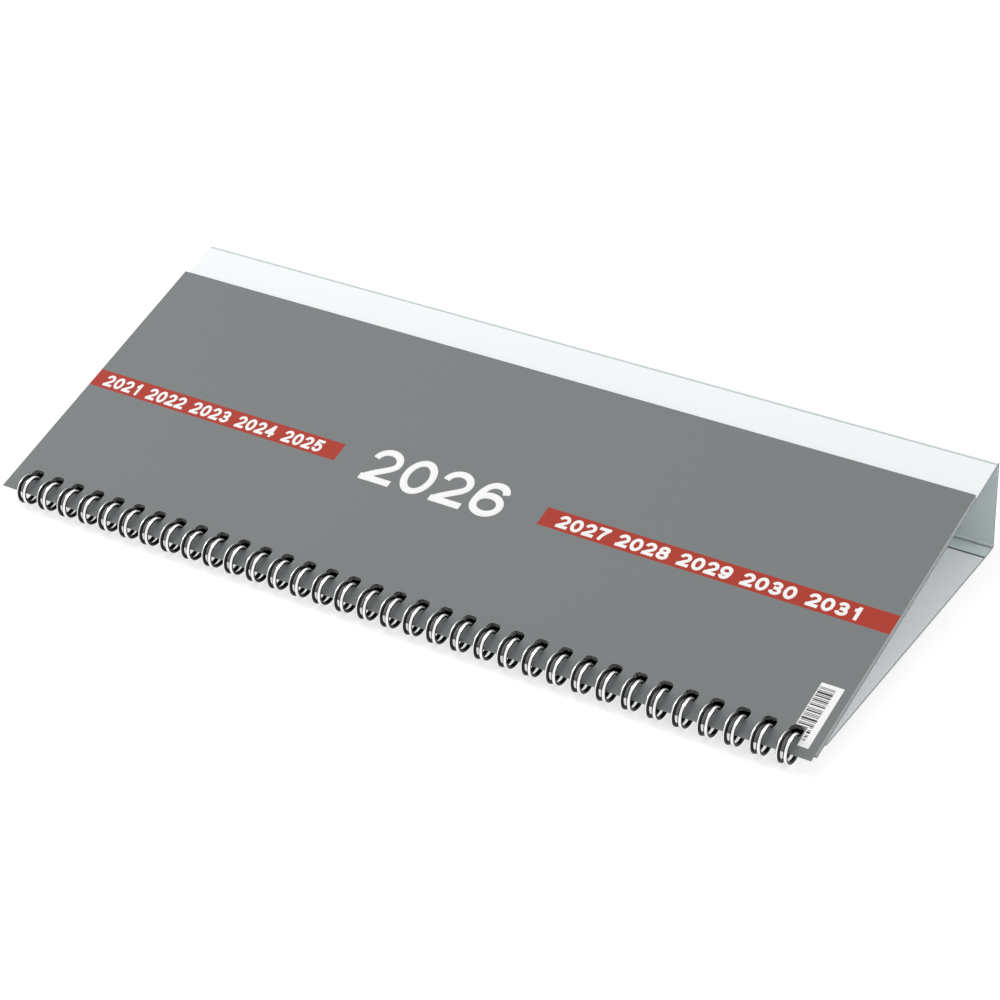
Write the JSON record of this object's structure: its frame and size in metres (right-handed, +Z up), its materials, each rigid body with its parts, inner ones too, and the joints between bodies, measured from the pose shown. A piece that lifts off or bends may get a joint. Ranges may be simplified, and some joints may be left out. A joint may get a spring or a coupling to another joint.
{
  "type": "desk calendar",
  "caption": "Landscape wire-bound desk calendar on a folded card stand: leaves and cover turn over the wire, and the stand folds flat.",
  "frame": {"origin": "middle of the footprint, on the surface that the calendar stands on", "axes": "+X along the wire, +Y from the wire to the back wall, +Z up"},
  "size_m": [0.297, 0.12, 0.0292],
  "materials": {
    "cover_card": "matte",
    "leaf_paper": "matte",
    "stand_card": "matte",
    "binding_wire": "gloss"
  },
  "bodies": {
    "stand_and_wire": {"support_panel": "stand_card", "binding_wire": "binding_wire"},
    "front_cover": {"front_cover": "cover_card"},
    "leaf_month_01": {"leaf_month_01": "leaf_paper"},
    "leaf_month_02": {"leaf_month_02": "leaf_paper"},
    "leaf_month_03": {"leaf_month_03": "leaf_paper"},
    "leaf_month_04": {"leaf_month_04": "leaf_paper"},
    "leaf_month_05": {"leaf_month_05": "leaf_paper"},
    "leaf_month_06": {"leaf_month_06": "leaf_paper"},
    "leaf_month_07": {"leaf_month_07": "leaf_paper"},
    "leaf_month_08": {"leaf_month_08": "leaf_paper"},
    "leaf_month_09": {"leaf_month_09": "leaf_paper"},
    "leaf_month_10": {"leaf_month_10": "leaf_paper"},
    "leaf_month_11": {"leaf_month_11": "leaf_paper"},
    "leaf_month_12": {"leaf_month_12": "leaf_paper"},
    "back_wall": {"back_wall": "stand_card"},
    "base": {"heel_strip": "stand_card", "base_panel": "stand_card"}
  },
  "joints": [
    {"name": "cover_turn", "type": "hinge", "parent": "stand_and_wire", "child": "front_cover", "pos_m": [0, -0.05519, 0.00485], "axis": [1, 0, 0], "range_deg": [0, 168]},
    {"name": "month_01_turn", "type": "hinge", "parent": "stand_and_wire", "child": "leaf_month_01", "pos_m": [0, -0.05519, 0.00485], "axis": [1, 0, 0], "range_deg": [0, 156.01]},
    {"name": "month_02_turn", "type": "hinge", "parent": "stand_and_wire", "child": "leaf_month_02", "pos_m": [0, -0.05519, 0.00485], "axis": [1, 0, 0], "range_deg": [0, 144]},
    {"name": "month_03_turn", "type": "hinge", "parent": "stand_and_wire", "child": "leaf_month_03", "pos_m": [0, -0.05519, 0.00485], "axis": [1, 0, 0], "range_deg": [0, 132.01]},
    {"name": "month_04_turn", "type": "hinge", "parent": "stand_and_wire", "child": "leaf_month_04", "pos_m": [0, -0.05519, 0.00485], "axis": [1, 0, 0], "range_deg": [0, 120.01]},
    {"name": "month_05_turn", "type": "hinge", "parent": "stand_and_wire", "child": "leaf_month_05", "pos_m": [0, -0.05519, 0.00485], "axis": [1, 0, 0], "range_deg": [0, 108.02]},
    {"name": "month_06_turn", "type": "hinge", "parent": "stand_and_wire", "child": "leaf_month_06", "pos_m": [0, -0.05519, 0.00485], "axis": [1, 0, 0], "range_deg": [0, 96.01]},
    {"name": "month_07_turn", "type": "hinge", "parent": "stand_and_wire", "child": "leaf_month_07", "pos_m": [0, -0.05519, 0.00485], "axis": [1, 0, 0], "range_deg": [0, 84.01]},
    {"name": "month_08_turn", "type": "hinge", "parent": "stand_and_wire", "child": "leaf_month_08", "pos_m": [0, -0.05519, 0.00485], "axis": [1, 0, 0], "range_deg": [0, 72.01]},
    {"name": "month_09_turn", "type": "hinge", "parent": "stand_and_wire", "child": "leaf_month_09", "pos_m": [0, -0.05519, 0.00485], "axis": [1, 0, 0], "range_deg": [0, 60]},
    {"name": "month_10_turn", "type": "hinge", "parent": "stand_and_wire", "child": "leaf_month_10", "pos_m": [0, -0.05519, 0.00485], "axis": [1, 0, 0], "range_deg": [0, 48.01]},
    {"name": "month_11_turn", "type": "hinge", "parent": "stand_and_wire", "child": "leaf_month_11", "pos_m": [0, -0.05519, 0.00485], "axis": [1, 0, 0], "range_deg": [0, 36.01]},
    {"name": "month_12_turn", "type": "hinge", "parent": "stand_and_wire", "child": "leaf_month_12", "pos_m": [0, -0.05519, 0.00485], "axis": [1, 0, 0], "range_deg": [0, 24.02]},
    {"name": "wall_fold", "type": "hinge", "parent": "stand_and_wire", "child": "back_wall", "pos_m": [0, 0.05944, 0.02857], "axis": [1, 0, 0], "range_deg": [0, 108]},
    {"name": "base_fold", "type": "hinge", "parent": "back_wall", "child": "base", "pos_m": [0, 0.05536, 0.0006], "axis": [1, 0, 0], "range_deg": [-93.32, 0]}
  ],
  "couplings": [
    {"joint": "month_01_turn", "follows": "cover_turn", "ratio": 0.9286},
    {"joint": "month_02_turn", "follows": "cover_turn", "ratio": 0.8571},
    {"joint": "month_03_turn", "follows": "cover_turn", "ratio": 0.7857},
    {"joint": "month_04_turn", "follows": "cover_turn", "ratio": 0.7143},
    {"joint": "month_05_turn", "follows": "cover_turn", "ratio": 0.6429},
    {"joint": "month_06_turn", "follows": "cover_turn", "ratio": 0.5714},
    {"joint": "month_07_turn", "follows": "cover_turn", "ratio": 0.5},
    {"joint": "month_08_turn", "follows": "cover_turn", "ratio": 0.4286},
    {"joint": "month_09_turn", "follows": "cover_turn", "ratio": 0.3571},
    {"joint": "month_10_turn", "follows": "cover_turn", "ratio": 0.2857},
    {"joint": "month_11_turn", "follows": "cover_turn", "ratio": 0.2143},
    {"joint": "month_12_turn", "follows": "cover_turn", "ratio": 0.1429},
    {"joint": "base_fold", "follows": "wall_fold", "ratio": -0.864}
  ]
}
